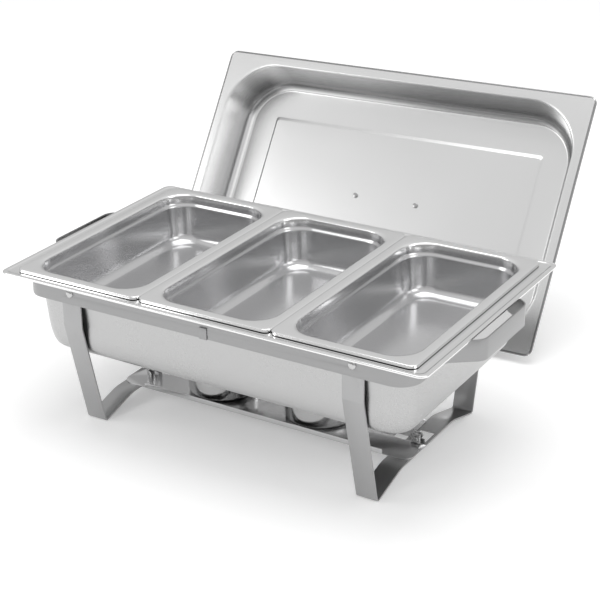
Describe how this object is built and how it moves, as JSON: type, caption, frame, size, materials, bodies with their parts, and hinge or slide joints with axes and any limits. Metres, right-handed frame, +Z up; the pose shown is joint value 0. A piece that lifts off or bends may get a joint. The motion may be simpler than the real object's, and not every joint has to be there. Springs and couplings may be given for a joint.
{
  "type": "folding chafing dish",
  "caption": "Steel chafing dish: folding strip frame, water pan with food pans, domed lid leaning behind, fuel holders with swinging dampers on a low shelf.",
  "frame": {"origin": "middle of the four feet, on the table", "axes": "+Z up, +X along the dish to its right-hand handle, +Y to the back, where the lid leans"},
  "size_m": [0.6528, 0.686, 0.3039],
  "materials": {
    "frame_steel": "satin strip steel",
    "shelf_steel": "rolled sheet steel with a soft mirror",
    "pan_steel": "satin sheet steel with a polished rim",
    "food_pan_steel": "polished sheet steel",
    "lid_steel": "satin sheet steel",
    "handle_steel": "satin strip steel",
    "fastener_steel": "plated, bright",
    "holder_steel": "turned, half polished",
    "arm_steel": "satin strip steel",
    "tip_plastic": "dark heat-proof plastic"
  },
  "bodies": {
    "frame_top": {"top_rail": "frame_steel", "leg_rivets": "fastener_steel", "stop_tabs": "fastener_steel", "rail_clips": "fastener_steel"},
    "left_leg": {"leg_left": "frame_steel"},
    "right_leg": {"leg_right": "frame_steel"},
    "shelf": {"shelf_tray": "shelf_steel", "shelf_screws": "fastener_steel", "shelf_nuts": "fastener_steel"},
    "water_pan": {"water_pan": "pan_steel"},
    "food_pan_left": {"food_pan_left": "food_pan_steel"},
    "food_pan_middle": {"food_pan_middle": "food_pan_steel"},
    "food_pan_right": {"food_pan_right": "food_pan_steel"},
    "lid": {"lid_shell": "lid_steel", "lid_handle": "handle_steel", "lid_screws": "fastener_steel", "lid_nuts": "fastener_steel"},
    "fuel_holder_left": {"fuel_cup_left": "holder_steel"},
    "holder_lid_left": {"ring_lid_left": "holder_steel", "fixed_arm_left": "arm_steel", "arm_rivet_left": "fastener_steel"},
    "damper_arm_left": {"swing_arm_left": "arm_steel", "damper_left": "holder_steel", "arm_tip_left": "tip_plastic"},
    "fuel_holder_right": {"fuel_cup_right": "holder_steel"},
    "holder_lid_right": {"ring_lid_right": "holder_steel", "fixed_arm_right": "arm_steel", "arm_rivet_right": "fastener_steel"},
    "damper_arm_right": {"swing_arm_right": "arm_steel", "damper_right": "holder_steel", "arm_tip_right": "tip_plastic"}
  },
  "joints": [
    {"name": "left_leg_fold", "type": "hinge", "parent": "frame_top", "child": "left_leg", "pos_m": [-0.18825, 0, 0.1805], "axis": [0, -1, 0], "range_deg": [0, 86]},
    {"name": "right_leg_fold", "type": "hinge", "parent": "frame_top", "child": "right_leg", "pos_m": [0.18825, 0, 0.1805], "axis": [0, 1, 0], "range_deg": [0, 86.1]},
    {"name": "shelf_lift", "type": "slide", "parent": "frame_top", "child": "shelf", "axis": [0, 0, 1], "range_m": [0, 0.215]},
    {"name": "water_pan_lift", "type": "slide", "parent": "frame_top", "child": "water_pan", "axis": [0, 0, 1], "range_m": [0, 0.215]},
    {"name": "food_pan_left_lift", "type": "slide", "parent": "water_pan", "child": "food_pan_left", "axis": [0, 0, 1], "range_m": [0, 0.12]},
    {"name": "food_pan_middle_lift", "type": "slide", "parent": "water_pan", "child": "food_pan_middle", "axis": [0, 0, 1], "range_m": [0, 0.12]},
    {"name": "food_pan_right_lift", "type": "slide", "parent": "water_pan", "child": "food_pan_right", "axis": [0, 0, 1], "range_m": [0, 0.12]},
    {"name": "lid_lift", "type": "slide", "parent": "frame_top", "child": "lid", "axis": [0, 0, 1], "range_m": [0, 0.2]},
    {"name": "fuel_holder_left_lift", "type": "slide", "parent": "shelf", "child": "fuel_holder_left", "axis": [0, 0, 1], "range_m": [0, 0.008]},
    {"name": "holder_lid_left_lift", "type": "slide", "parent": "fuel_holder_left", "child": "holder_lid_left", "axis": [0, 0, 1], "range_m": [0, 0.0145]},
    {"name": "damper_left_swing", "type": "hinge", "parent": "holder_lid_left", "child": "damper_arm_left", "pos_m": [-0.1175, 0.06149, 0.0678], "axis": [0, 0, 1], "range_deg": [-79.6, 10]},
    {"name": "fuel_holder_right_lift", "type": "slide", "parent": "shelf", "child": "fuel_holder_right", "axis": [0, 0, 1], "range_m": [0, 0.008]},
    {"name": "holder_lid_right_lift", "type": "slide", "parent": "fuel_holder_right", "child": "holder_lid_right", "axis": [0, 0, 1], "range_m": [0, 0.0145]},
    {"name": "damper_right_swing", "type": "hinge", "parent": "holder_lid_right", "child": "damper_arm_right", "pos_m": [0.0225, 0.06149, 0.0678], "axis": [0, 0, 1], "range_deg": [-79.6, 10]}
  ],
  "couplings": [
    {"joint": "right_leg_fold", "follows": "left_leg_fold", "ratio": 1},
    {"joint": "shelf_lift", "follows": "left_leg_fold", "m_per_rad": 0.14},
    {"joint": "water_pan_lift", "follows": "left_leg_fold", "m_per_rad": 0.14}
  ]
}
